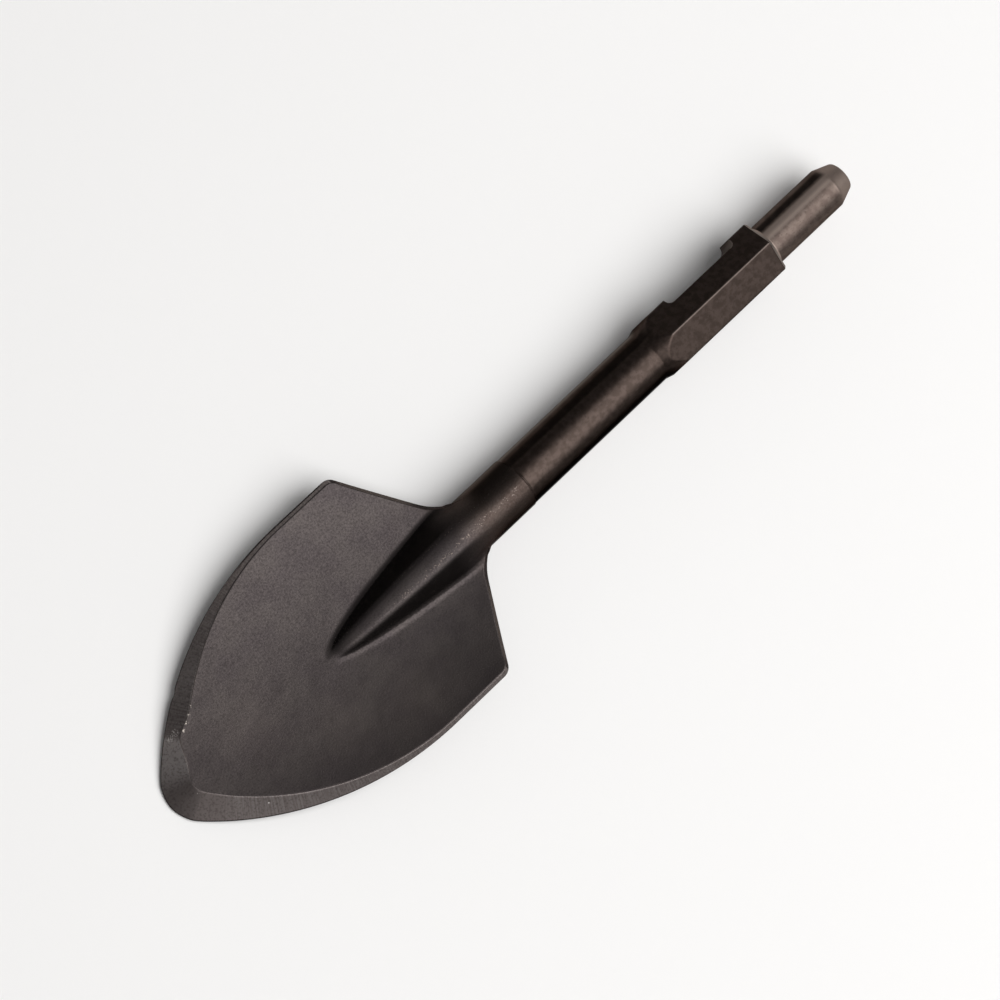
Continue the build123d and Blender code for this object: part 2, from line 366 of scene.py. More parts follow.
def bladeRow(run, side):
    # One row over the edge from the middle of the front to the middle of the back. Gives its points
    # and, for each, how ground it is, how much on the edge and how far in.
    place, foot, line, reach, squareness = rowDirection(run)
    x, y = place
    width, edge, pastShoulder = bandSizes(x, y, side)
    web = smoothStep(tool["neck"], meshSizes["webEnd"] - 3, x)
    inFoot = min(width / squareness, reach * 0.9) * (1 - 0.97 * web)
    onRound = x > footPlaces[-2]     # from here on the rows follow the shank's round

    # the front, from the middle line to the ground band
    crown = tool["forgedRadius"]
    if onRound:
        angles = np.linspace(0, math.radians(meshSizes["webRound"]), 90)
        across = np.concatenate((crown * np.sin(angles), np.linspace(crown, crown + 6, 40)[1:]))
        across = across[across < reach - inFoot]
        across = np.concatenate((across, np.linspace(across[-1], reach - inFoot, 60)[1:]))
    else:
        across = np.linspace(0, reach - inFoot, 160)
    inner = foot[None, :] - line[None, :] * across[:, None]
    front = np.column_stack((inner, frontSurface(inner[:, 0], inner[:, 1])))

    # the band, the land and the back edge, as a section in (distance in from the edge, height)
    start = np.array([inFoot, front[-1, 2]])
    top = np.array([0.0, min(edge, front[-1, 2] - 0.02) if web < 0.5 else front[-1, 2] - 0.02])
    bottom = np.array([0.0, ridgeSurface(x, y, -1)])
    inBottom = np.array([6.0, backHeight(x, max(y - 6, 0))])
    topArc = roundEdge(top, start, bottom, tool["edgeRounding"] + tool["shoulderRound"] * pastShoulder, 6)
    bottomArc = roundEdge(bottom, top, inBottom, tool["backRounding"], 6)
    wall = np.vstack((topArc, np.linspace(topArc[-1], bottomArc[0], 40)[1:-1], bottomArc))

    def inSpace(section):
        return np.column_stack((place[None, :] + line[None, :] * section[:, :1], section[:, 1]))

    # the back
    under = np.linspace(bottomArc[-1, 0], reach, 260)
    if onRound:
        sides = reach - crown * np.sin(np.linspace(math.radians(meshSizes["webRound"]), 0, 90))
        under = np.unique(np.concatenate((under, sides[sides > bottomArc[-1, 0]])))
    flat = place[None, :] + line[None, :] * under[:, None]
    back = np.column_stack((flat, ridgeSurface(flat[:, 0], flat[:, 1], -1)))
    back[0] = inSpace(bottomArc)[-1]

    band = inSpace(np.vstack((start, topArc[0])))
    steps = topPositions(front, across, max(lengthOf(band), 1e-6), x)
    points = np.vstack((
        along(np.vstack((front, band[1:])), steps),
        along(roundSides(inSpace(wall), x), spread(1.0, meshSizes["wall"], 0.04, 0.04))[1:],
        along(back, np.linspace(0, 1, meshSizes["back"] + 1))[1:]))
    ground = ((columns >= meshSizes["top"]) & (columns <= topEnd)) * (1 - pastShoulder)
    onEdge = ((columns >= topEnd) & (columns <= topEnd + meshSizes["wall"])) * (
        1 - smoothStep(tool["neck"], tool["neck"] + 10, x))
    return points, ground, onEdge, np.hypot(points[:, 0] - x, points[:, 1] - y)


def bladeRuns():
    last, hold = runAt(meshSizes["webEnd"]), meshSizes["hold"]
    nose = np.linspace(0, noseCorner - hold, 11)
    rest = np.linspace(noseCorner + hold, last, int((last - noseCorner) / meshSizes["rowSpacing"]))
    return np.concatenate((nose, [noseCorner], rest))


def nicked(points, inward, run):
    apart = (run - runAt(nick["place"])) / nick["width"]
    push = nick["depth"] * math.exp(-apart * apart) * np.exp(-inward / nick["reach"])
    return points + push[:, None] * np.array([nick["drag"], -1, 0])


def softMitre(rows, runs):
    # The wheel leaves no sharp line where nose and side facets meet: rows near the corner are blended
    rows, runs = np.array(rows), np.array(runs)
    out = rows.copy()
    inside = np.clip((topEnd - columns) / meshSizes["bevel"], 0, 1)[:, None]
    inside = facet["softOutline"] + (1 - facet["softOutline"]) * inside
    for k in np.nonzero(np.abs(runs - noseCorner) < facet["blendEnds"][1])[0]:
        weight = np.exp(-((runs - runs[k]) / facet["softCorner"]) ** 2)
        blended = np.tensordot(weight / weight.sum(), rows, 1)
        far = runs[k] - noseCorner
        share = inside * (1 - smoothStep(*facet["blendEnds"], far)) * (1 - smoothStep(6, noseCorner, -far))
        out[k] = rows[k] + (blended - rows[k]) * share
    out[:, 0, 1] = 0
    return out


print("row functions ready")


def quarterRound(radius, degrees):
    # Steps round a hollow corner, as distance gone and height left
    return [(radius * (1 - math.cos(turn)), radius * (1 - math.sin(turn))) for turn in np.radians(degrees)]


def ringStations():
    # Rings along the shank: place, largest radius and, where it isn't plain, distance of the flat on
    # the notched side and share of the hexagon's size
    hold, fillet, corner = meshSizes["hold"], tool["pinRootFillet"], tool["hexCorner"]
    forged, turned, pin = tool["forgedRadius"], tool["turnedRadius"], tool["pinRadius"]
    begin, finish, length = tool["hexStart"], tool["hexEnd"], tool["length"]
    beyond = corner + 1      # larger than the section, so that the hexagon stays whole
    line, lineEnd = tool["forgingLine"], tool["forgingLine"] + tool["forgingStep"]
    groove = turned - tool["forgingDepth"]
    stations = [(p, forged) for p in np.arange(meshSizes["webEnd"] + 1.5, line - 1, 1.5)]
    stations += [(line - hold, forged), (line, forged - 0.05), (line + 0.25, groove), (line + 0.6, groove)]
    stations += [(lineEnd - 0.3, turned - 0.02), (lineEnd + hold, turned)]
    stations += [(p, turned) for p in np.arange(lineEnd + 2, begin - 1, 2.0)]
    stations += [(begin - hold, turned), (begin, turned)]
    slope = slopeOf(tool["hexCone"])
    coneEnd = begin + (corner - turned) / slope
    stations += [(p, turned + slope * (p - begin)) for p in np.arange(begin + hold, coneEnd + 0.6, 0.6)]

    # the hexagon, with closer rings round the ends of the notch
    notchEnds = finish - tool["notchFromEnd"] - tool["notchLength"], finish - tool["notchFromEnd"]
    bottom, rise = tool["flatDistance"] - tool["notchDepth"], tool["notchRounding"]
    chamfer = (corner - tool["hexEndRadius"]) * slopeOf(tool["hexEndAngle"])
    hexagon = []
    for p in np.arange(coneEnd + 1.5, finish - chamfer - 1, 1.6):
        if min(abs(p - end) for end in notchEnds) > 4.2:
            hexagon.append((p, beyond, bottom if notchEnds[0] < p < notchEnds[1] else None))
    steps = [(-hold, None), (0, None), (0.04, bottom + rise)]
    steps += [(gone, bottom + left) for gone, left in quarterRound(rise, (14, 28, 42, 58, 74, 90))]
    steps.append((rise + 0.6, bottom))
    for side, end in zip((1, -1), notchEnds):
        hexagon += [(end + side * step, beyond, flat) for step, flat in steps]
    stations += sorted(hexagon, key=lambda station: station[0])
    stations += [(finish - chamfer - hold, beyond), (finish - chamfer, beyond)]
    stations += [(finish - chamfer * (1 - t), beyond, None, 1 - 0.07 * t) for t in (0.12, 0.5, 0.88, 1)]
    stations += [(finish, beyond, None, 0.92), (finish + 0.02, pin + fillet)]

    # the pin: its root, its round, its cone and its struck end
    stations += [(finish + gone, pin + left) for gone, left in quarterRound(fillet, (15, 30, 45, 60, 75, 90))]
    slope = slopeOf(tool["pinCone"])
    coneStart = length - (pin - tool["pinEndRadius"]) / slope
    stations += [(p, pin) for p in np.arange(finish + fillet + 2, coneStart - 1, 2.0)]
    stations += [(coneStart - hold, pin), (coneStart, pin)]
    rounding = roundedCorner(np.array([coneStart, pin]), np.array([length, tool["pinEndRadius"]]),
                             np.array([length, 0.0]), tool["pinEndRounding"], 7)
    onCone = np.arange(coneStart + hold, rounding[0, 0] - 0.5, 1.2)
    stations += [(p, pin - (p - coneStart) * slope) for p in onCone]
    stations += [tuple(p) for p in rounding]
    return stations + [(length, radius) for radius in (5.0, 3.0, 1.2)]


def hexSection(flat):
    # Half of the hexagon's section from the top corner over one side to the bottom corner
    edge = tool["hexCorner"] - flat * slopeOf(30)
    corners = np.array([[0, tool["hexCorner"]], [flat, edge], [flat, -edge], [0, -tool["hexCorner"]]])
    sides = []
    for a, b in zip(corners[:-1], corners[1:]):
        length = float(np.linalg.norm(b - a))
        steps = spread(length, half // 3, meshSizes["hold"], meshSizes["hold"]) / length
        sides.append(a + (b - a) * steps[:, None])
    return np.vstack((sides[0], sides[1][1:], sides[2][1:]))


def ring(place, radius, flat, firstAngles, scale):
    section = hexSection(flat) * scale
    if place < tool["forgingLine"]:
        angles = np.arctan2(section[:, 1], section[:, 0])
        share = smoothStep(meshSizes["webEnd"], tool["forgingLine"] - 2, place)
        angles = firstAngles + (angles - firstAngles) * share
        section = 20 * np.column_stack((np.cos(angles), np.sin(angles)))
    distance = np.hypot(section[:, 0], section[:, 1])
    near = softMinimum(min(radius, tool["hexCorner"] - 0.12), distance, 0.1)[0]
    return np.column_stack((np.full(half + 1, place), section * (near / distance)[:, None]))


# Marks of the forge and of use, with painted shade and painted light, written on the mesh for the finishes to
# read
wearAndPaintedLight = {
    "crest": [(5.0, 0.9), (2.6, 2.2)],       # rubbed streak on each side of the crest: middle and width
    "crestFrom": (130, 150), "crestEnd": 226,
    "otherFlank": 0.8,       # painted shade on the flank away from the notch
    "straightSide": 0.9,     # painted shade along the notched side's straight edge
    # the shank's rim colour is a painted reflection; the shoulder rim, hexagon corners and notch end are wear
    "shoulderRim": 0.5, "shankRimReflection": 0.7, "hexCorners": 0.16, "notchEnd": 0.6,
    "shadeFrom": (197, 211), "reflectionFrom": (196, 208),   # x where they begin on the shank and are full
    "upperSide": (-4.0, 3.0),                # height over which the painted shade fades in from below
    # how far round the rim the painted reflection lies, and how dark the painted shade on the turned shank is
    "reflectionBand": (0.86, 0.97), "turnedDepth": 0.78,
    # painted shade round the shank and the pin, and a painted highlight streak along the pin, as shares of
    # the half width: from, full, fading, gone
    "forgedShade": (0.3, 0.7, 0.78, 0.9), "turnedShade": (0.42, 0.58, 0.74, 0.86),
    "pinShade": (0.5, 0.62, 0.76, 0.92), "pinHighlight": (0.0, 0.22, 0.42, 0.54),
    "cone": 0.6,             # the cone and the end are struck bright all round
    "pale": [
        # painted light: lighter patches on the scale and the ground band, standing in for fill light: x from
        # the tip, y, radius, how far, face
        (56, 2, 17, 0.08, "scale"), (88, -28, 17, 0.09, "scale"), (122, -44, 17, 0.12, "scale"),
        (47, 41, 14, 0.26, "ground"), (68, 52, 10, 0.09, "ground"),
    ],
    "bare": [
        # where bare steel shows: x from the tip, y, radius
        (21.6, 24.6, 2.5), (25.0, 24.9, 2.3), (28.6, 22.6, 1.2), (31.9, 24.4, 1.4), (35.4, 26.6, 1.2),
        (38.5, 28.9, 1.2), (38.8, 39.2, 1.7), (48.0, 42.0, 0.7), (34.4, -29.6, 0.6), (52.5, -44.0, 0.8),
        (13.6, -3.2, 1.0),
    ],
    "bareSquash": 0.4,       # of the height, so that a spot reaches down the ground band but not to the back
}


def crestStreaks(aside):
    return [np.exp(-((aside - middle) / width) ** 2) for middle, width in wearAndPaintedLight["crest"]]


def ridgeMarks(points):
    # Painted shade on the steep flanks, and where the crown has been rubbed
    x, y = points[:, 0], np.abs(points[:, 1])
    crest, root, t = ridgeWidths(x, 0)
    onFlank = np.clip((y - crest + 0.8) / 2.0, 0, 1) * np.clip((root - 0.3 - y) / 0.5, 0, 1)
    fade = np.clip((tool["roofEnds"][1] - x) / 25, 0, 1) * np.clip(t / 0.04, 0, 1)
    rubbedFrom = smoothStep(*wearAndPaintedLight["crestFrom"], x)
    return onFlank * fade, [rubbedFrom * streak for streak in crestStreaks(y)]


# Share of the painted light patches
def paleShare(points, side, ground):
    share = np.zeros(len(points))
    for x, y, radius, amount, face in wearAndPaintedLight["pale"]:
        near = np.exp(-((points[:, 0] - x) ** 2 + (side * points[:, 1] - y) ** 2) / radius ** 2)
        share += amount * near * (ground if face == "ground" else 1 - ground)
    return share * (columns <= topEnd)


def shankMarks(points):
    # Painted shade on the notched side and on the other side, and a painted rim reflection, all fading along
    # the shank
    place, height = points[:, 0], points[:, 2]
    aside = np.abs(points[:, 1]) / np.maximum(np.hypot(points[:, 1], height), 1e-6)
    past = smoothStep(tool["forgingLine"] - 1, tool["forgingLine"] + 1, place)
    onForged = smoothStep(*wearAndPaintedLight["shadeFrom"], place) * (1 - past)
    onTurned = past * (1 - smoothStep(tool["hexStart"], tool["hexStart"] + 12, place))
    low, full, fading, end = wearAndPaintedLight["forgedShade"]
    # painted shade over the forged shank's notched side, darkest towards its edge
    shadeOnForged = (0.5 + 0.37 * smoothStep(low, full, aside)) * (1 - smoothStep(fading, end, aside))
    sides, upper = np.clip((aside - 0.5) / 0.35, 0, 1), smoothStep(*wearAndPaintedLight["upperSide"], height)
    paintedShade = shadeOnForged * onForged + wearAndPaintedLight["turnedDepth"] * smoothBand(*wearAndPaintedLight["turnedShade"], aside) * onTurned
    otherShade = (0.5 * (1 - smoothStep(0.0, 0.2, aside)) + 0.6 * sides) * onForged + 0.8 * sides * onTurned
    onShank = smoothStep(*wearAndPaintedLight["reflectionFrom"], place)
    onShank -= smoothStep(tool["hexStart"] - 2, tool["hexStart"] + 4, place)
    # painted rim reflection along the shank's upper edge
    rim = wearAndPaintedLight["shankRimReflection"] * smoothStep(*wearAndPaintedLight["reflectionBand"], aside) * onShank * np.clip(0.5 + height / 3, 0, 1)
    return paintedShade * upper, otherShade * upper, rim


def bladeMarks(points, ground, run, x):
    # Painted shade, rubbed streak, and wear with painted light on a row of the blade, each for the notched
    # side and for the other
    flank, crest = ridgeMarks(points)
    paintedShade, otherShade, paintedRimReflection = shankMarks(points)
    front = columns <= meshSizes["top"]
    onBand = ~front & (columns <= topEnd + 3)
    onSide = smoothBand(85, 115, tool["shoulder"] - 6, tool["shoulder"] - 2, x)
    # painted shade along the notched side's straight edge
    paintedShade = np.maximum(paintedShade, wearAndPaintedLight["straightSide"] * onSide * (columns > topEnd - 3) * (columns < topEnd + 7))
    facetEnd = runAt(facet["place"])
    onFacet = ground * smoothBand(3.0, facetEnd - 10, facetEnd - 1.5, facetEnd + 1.5, run)
    rim = onBand * wearAndPaintedLight["shoulderRim"] * smoothBand(
        tool["shoulder"], tool["shoulder"] + 4, tool["neck"] - 6, tool["neck"], x)
    return {
        "paintedShadeShare": [np.maximum(front * flank, paintedShade), np.maximum(front * wearAndPaintedLight["otherFlank"] * flank, otherShade)],
        "paleMark": [front * streak for streak in crest],
        # wear, with the painted rim reflection and painted light patches added
        "wornAndLit": [np.maximum(onFacet + rim, paintedRimReflection) + paleShare(points, 1, ground),
                 rim + paleShare(points, -1, ground)],
    }


def ringMarks(points, place, flat):
    # The same on a ring: the hexagon's corners and one end of the notch are rubbed light, and the chamfer and
    # the pin's root get painted light
    distance = np.hypot(points[:, 1], points[:, 2])
    aside, above = np.abs(points[:, 1]), points[:, 2] > 0
    streaks = [above * streak * (place < wearAndPaintedLight["crestEnd"]) for streak in crestStreaks(aside)]
    aside = aside / distance
    paintedShade, otherShade, rim = shankMarks(points)
    onHexagon = tool["hexStart"] < place < tool["hexEnd"] + 0.01
    otherWornAndLit = np.clip((distance - 16.95) / 0.2, 0, 1) * wearAndPaintedLight["hexCorners"] * onHexagon
    # painted light on the hexagon's end chamfer and the pin's root fillet
    if tool["hexEnd"] - 1.2 < place < tool["hexEnd"] + 1.8:
        otherWornAndLit = np.ones(half + 1)
    notchEnd = tool["hexEnd"] - tool["notchFromEnd"]
    if flat and notchEnd - tool["notchRounding"] - 0.1 < place < notchEnd:
        otherWornAndLit = np.maximum(otherWornAndLit, wearAndPaintedLight["notchEnd"] * (points[:, 1] > flat - 0.2))
    thisWornAndLit = np.maximum(otherWornAndLit, rim)
    if place > tool["hexEnd"] + 1.8:
        onCone = smoothStep(tool["length"] - 12, tool["length"] - 8, place)
        shown = (1 - onCone) * smoothStep(-3.0, 2.0, points[:, 2])
        # painted shade on the pin's upper side
        paintedShade = 0.8 * shown * smoothBand(*wearAndPaintedLight["pinShade"], aside)
        otherShade = 0.3 * paintedShade
        otherWornAndLit = np.full(half + 1, wearAndPaintedLight["cone"] * onCone)
        # painted highlight streak along the top of the pin, plus the struck cone's wear
        thisWornAndLit = shown * above * smoothBand(*wearAndPaintedLight["pinHighlight"], aside) + otherWornAndLit
    return {"paintedShadeShare": [paintedShade, otherShade], "paleMark": streaks, "wornAndLit": [thisWornAndLit, otherWornAndLit]}


def toolRows():
    # All rows and rings, on the notched side and mirrored on the other, with their marks
    rows, mirrored, forged, places = [], [], [], []
    marks = {"paintedShadeShare": [], "paleMark": [], "wornAndLit": []}
    runs = bladeRuns()
    for run in runs:
        x = placeAt(run)[0]
        points, ground, onEdge, inward = bladeRow(run, 1)
        plain = bladeRow(run, -1)[0]
        if run == 0:
            points[:, 1] = plain[:, 1] = 0
        points[0, 1] = points[-1, 1] = 0
        rows.append(nicked(points, inward, run) if run > 0 else points)
        mirrored.append(plain)
        for name, sides in bladeMarks(points, ground, run, x).items():
            marks[name].append(sides)
        forged.append(1 - np.maximum(ground, onEdge))
        places.append(np.column_stack((np.full(half + 1, run), inward, np.zeros(half + 1))))
    across = np.array([1, -1, 1])
    rows = list(softMitre(rows, runs))
    mirrored = [row * across for row in softMitre(mirrored, runs)]
    firstAngles = np.arctan2(rows[-1][:, 2], rows[-1][:, 1])
    for place, radius, *more in ringStations():
        flat, scale = more + [None, 1.0][len(more):]
        plainFlat = tool["flatDistance"]
        rows.append(ring(place, radius, flat or plainFlat, firstAngles, scale))
        mirrored.append(ring(place, radius, plainFlat, firstAngles, scale) * across)
        for name, sides in ringMarks(rows[-1], place, flat).items():
            marks[name].append(sides)
        forged.append(np.full(half + 1, float(place < tool["forgingLine"] - 0.5)))
        places.append(np.zeros((half + 1, 3)))
    return np.array(rows), np.array(mirrored), marks, np.array(forged), np.array(places)


def zoneOf(place, column, ground):
    # Which finish a face has: 0 scale, 1 ground, 2 turned, 3 pin
    zone = np.zeros((len(place), len(column)), int)
    zone[ground, meshSizes["top"]:topEnd] = 1
    zone[place >= tool["forgingLine"] - 0.01] = 2
    zone[place >= tool["hexEnd"] + 0.01] = 3
    return zone


def toolMesh():
    right, left, marks, forged, places = toolRows()
    rowCount, width = forged.shape
    rightIds = np.arange(rowCount * width).reshape(rowCount, width)
    leftIds = rightIds.copy()
    inner = np.zeros((rowCount, width), bool)      # the points that the two sides don't share
    inner[1:, 1:-1] = True
    leftIds[inner] = rowCount * width + np.arange(inner.sum())
    vertices = np.vstack((right.reshape(-1, 3), left[inner], [[tool["length"], 0, 0]]))
    pole = len(vertices) - 1
    onBand = forged[:, meshSizes["top"] + 1] < 0.5
    onBand &= np.arange(rowCount) < len(bladeRuns())
    zone = zoneOf(right[:-1, 0, 0], columns[:-1], onBand[:-1] & onBand[1:])
    faces, zones = [], []
    for ids, flip in ((rightIds, True), (leftIds, False)):
        a, b, c, d = ids[:-1, :-1], ids[:-1, 1:], ids[1:, 1:], ids[1:, :-1]
        faces += np.stack((a, d, c, b) if flip else (a, b, c, d), axis=-1).reshape(-1, 4).tolist()
        order = 1 if flip else -1
        faces += [[*pair[::order], pole] for pair in zip(ids[-1, 1:].tolist(), ids[-1, :-1].tolist())]
        zones += zone.reshape(-1).tolist() + [3] * half
    vertices[:, 0] = np.maximum(vertices[:, 0], 0.004)
    vertices[:, 0] -= tool["length"]
    mesh = bpy.data.meshes.new("chiselForm")
    mesh.from_pydata((vertices / 1000).tolist(), [], faces)
    mesh.update()
    mesh.attributes.new("zone", "INT", "FACE").data.foreach_set("value", zones)
    marks["forged"] = np.stack((forged, forged), 1)
    for name, values in marks.items():
        values = np.array(values)
        data = np.concatenate((values[:, 0].reshape(-1), values[:, 1][inner], values[-1, :1, 0]))
        mesh.attributes.new(name, "FLOAT", "POINT").data.foreach_set("value", data)
    spots = np.vstack((places.reshape(-1, 3), places[inner], [[0, 0, 0]])) / 1000
    mesh.attributes.new("bandPlace", "FLOAT_VECTOR", "POINT").data.foreach_set("vector", spots.reshape(-1))
    mesh.polygons.foreach_set("use_smooth", np.ones(len(faces), bool))
    mesh.materials.append(finishes[0])
    problem = mesh.validate(verbose=False)
    print("mesh", len(vertices), "points", len(faces), "faces", "mended" if problem else "sound")
    return mesh


# Small helpers for objects, colours and node trees
def addObject(name, data):
    made = bpy.data.objects.new(name, data)
    bpy.context.scene.collection.objects.link(made)
    return made


def emptyTree(owner):
    # The node tree of a material or world, without the nodes it starts with
    owner.use_nodes = True
    owner.node_tree.nodes.clear()
    return owner.node_tree


def hexColour(text):
    # A colour written as sRGB hex, turned linear
    values = [int(text[k:k + 2], 16) / 255 for k in (0, 2, 4)]
    return (*[v / 12.92 if v <= 0.04045 else ((v + 0.055) / 1.055) ** 2.4 for v in values], 1.0)


def addNode(tree, kind, settings=None, **inputs):
    # An input, by its name or as i and its number, is a value, an output socket or another node, of
    # which the first output in use is taken
    node = tree.nodes.new(kind)
    for name, value in (settings or {}).items():
        setattr(node, name, value)
    for name, value in inputs.items():
        socket = node.inputs[int(name[1:])] if name[1:].isdigit() else node.inputs[name]
        if isinstance(value, bpy.types.Node):
            value = next(output for output in value.outputs if output.enabled)
        if isinstance(value, bpy.types.NodeSocket):
            tree.links.new(value, socket)
        else:
            socket.default_value = value
    return node


times, timesPlus, plus, minus, larger = (
    {"operation": word} for word in ("MULTIPLY", "MULTIPLY_ADD", "ADD", "SUBTRACT", "MAXIMUM"))
softRange = {"interpolation_type": "SMOOTHSTEP"}


def startFinish(name, look, marks):
    # A new finish with the noise patterns of its look and the marks it reads from the mesh
    material = bpy.data.materials.new(name)
    tree = emptyTree(material)
    place = addNode(tree, "ShaderNodeTexCoord").outputs["Object"]
    noise = {name: addNode(tree, "ShaderNodeTexNoise", Vector=place, Scale=1000 / size, Detail=detail)
             for name, (size, detail) in look["patterns"].items()}
    marks = {name: addNode(tree, "ShaderNodeAttribute", {"attribute_name": name}).outputs["Fac"]
             for name in marks}
    return material, tree, place, noise, marks


def drawnLines(tree, place, look):
    # Noise drawn out into lines that lie across the first axis of place
    width, length, detail = look["lines"]
    scales = [1000 / size for size in (width, length, length)]
    drawn = addNode(tree, "ShaderNodeVectorMath", times, i0=place, i1=scales)
    return addNode(tree, "ShaderNodeTexNoise", Vector=drawn, Scale=1.0, Detail=detail)


def layColours(tree, colour, layers):
    # Lays shades over one another, each as far as its pattern says, or softly between the pattern's
    # values that follow the shade
    for shade, pattern in layers:
        shade, *span = shade if isinstance(shade, tuple) else (shade,)
        if span:
            span = {f"i{k + 1}": value for k, value in enumerate(span)}
            pattern = addNode(tree, "ShaderNodeMapRange", softRange, i0=pattern, **span)
        shade = hexColour(shade) if isinstance(shade, str) else shade
        colour = addNode(tree, "ShaderNodeMix", {"data_type": "RGBA"}, i0=pattern, i6=colour, i7=shade)
    return colour


def bareShare(tree, place, noise):
    # Share of bare steel: small rubbed or struck spots with ragged edges, on the front only
    squash, share = wearAndPaintedLight["bareSquash"], 0.0
    flat = addNode(tree, "ShaderNodeVectorMath", times, i0=place, i1=(1.0, 1.0, squash))
    for x, y, radius in wearAndPaintedLight["bare"]:
        height = frontHeight(x, y) - 1.0
        middle = ((x - tool["length"]) / 1000, y / 1000, squash * height / 1000)
        away = addNode(tree, "ShaderNodeVectorMath", {"operation": "DISTANCE"}, i0=flat, i1=middle)
        near = addNode(tree, "ShaderNodeMapRange", softRange, i0=away, i1=radius / 1000, i2=radius / 2500)
        share = addNode(tree, "ShaderNodeMath", larger, i0=share, i1=near)
    ragged = addNode(tree, "ShaderNodeMapRange", softRange, i0=noise, i1=0.5, i2=0.62)
    return addNode(tree, "ShaderNodeMath", times, i0=share, i1=ragged)


def metalSurface(tree, look, colour, roughness, height):
    # The metal itself: its colour is its reflection face on, and an oxide skin mirrors less at a
    # glancing angle than clean metal, which the edge tint says
    strength, depth = look["bump"]
    bump = addNode(tree, "ShaderNodeBump", Strength=strength, Distance=depth / 1000, Height=height)
    shader = addNode(tree, "ShaderNodeBsdfPrincipled", {"label": "metal"}, Metallic=1.0, Roughness=roughness)
    shader.inputs["Specular Tint"].default_value = hexColour(look["edgeTint"])
    tree.links.new(colour.outputs["Result"], shader.inputs["Base Color"])
    tree.links.new(bump.outputs[0], shader.inputs["Normal"])
    addNode(tree, "ShaderNodeOutputMaterial", Surface=shader)


# Finishes. A colour's numbers are its pattern's values where it begins and is full, then how far it
# shows at each. Patterns are the millimetres across one grain, speck, cloud or patch, and the detail;
# lines are their width, length and detail. A bump is its strength and its depth in millimetres.
scaleLook = {
    "blade": "3c3737", "bladeCloud": ("413c3b", 0.35, 0.65),
    "shank": "3b322e", "shankCloud": ("423a36", 0.35, 0.65),
    "deep": ("262221", 0.5, 0.3, 0.0, 0.3), "pale": ("4a4442", 0.5, 0.7, 0.0, 0.3),
    # the soot colour paints shade; the worn colour paints wear and also painted reflections and light
    "wornAndLit": "716761", "bare": "989089", "paintedShade": ("0d0b0a", 0.0, 1.0, 0.0, 0.86),
    "shankFrom": (-0.285, -0.255),           # metres, where the blade's colour turns into the shank's
    "fleck": ("625954", 0.0, 0.08), "fleckFrom": 0.78, "fleckOnCrest": -0.21,
    "roughness": 0.42, "edgeTint": "a0a0a0",
    "patterns": {"grain": (0.9, 5.0), "speck": (0.8, 2.0), "cloud": (17.0, 4.0)},
    "bump": (0.45, 0.09),    # real pits are finer, and these are as coarse as they need to show
}


def forgeScale():
    # Black forge scale: a hard dark skin with a soft sheen, fine pits, and rubbed specks on the crown, under
    # painted shade and painted light
    look = scaleLook
    material, tree, place, noise, marks = startFinish("blackForgeScale", look, ("paintedShadeShare", "paleMark", "wornAndLit"))
    grain = noise["grain"]
    blade, shank = (layColours(tree, hexColour(look[part]), [(look[part + "Cloud"], noise["cloud"])])
                    for part in ("blade", "shank"))
    edge = addNode(tree, "ShaderNodeMath", timesPlus,
                   i0=marks["paleMark"], i1=look["fleckOnCrest"], i2=look["fleckFrom"])
    colour = layColours(tree, blade, [
        ((shank, *look["shankFrom"]), addNode(tree, "ShaderNodeSeparateXYZ", i0=place)),
        (look["deep"], grain), (look["pale"], grain),
        (look["fleck"], addNode(tree, "ShaderNodeMath", minus, i0=noise["speck"], i1=edge)),
        (look["bare"], bareShare(tree, place, noise["speck"])),
        # wear and painted light, then painted shade
        (look["wornAndLit"], marks["wornAndLit"]), (look["paintedShade"], marks["paintedShadeShare"]),
    ])
    roughness = addNode(tree, "ShaderNodeMapRange", softRange, i0=grain, i1=0.3, i2=0.7,
                        i3=look["roughness"] + 0.05, i4=look["roughness"] - 0.05)
    metalSurface(tree, look, colour, roughness, grain)
    return material


groundLook = {
    "colour": "6c6462", "bright": "7b7472", "deep": ("48413f", 0.55, 0.3, 0.0, 0.45),
    # the soot colour paints shade; the rubbed colour paints wear and also painted light
    "paintedShade": "0d0b0a", "paleMark": "a8a09e", "bare": "d8d2ce",
    "roughness": 0.4, "edgeTint": "a0a0a0",
    "patterns": {"grain": (1.1, 3.0), "speck": (0.8, 2.0)},
    "lines": (0.9, 25.0, 3.0),               # real scratches are finer: as coarse as they need to show
    "bump": (0.6, 0.02),
    "marksFrom": (0.022, 0.034),             # metres along the edge to where the wheel marks begin
}


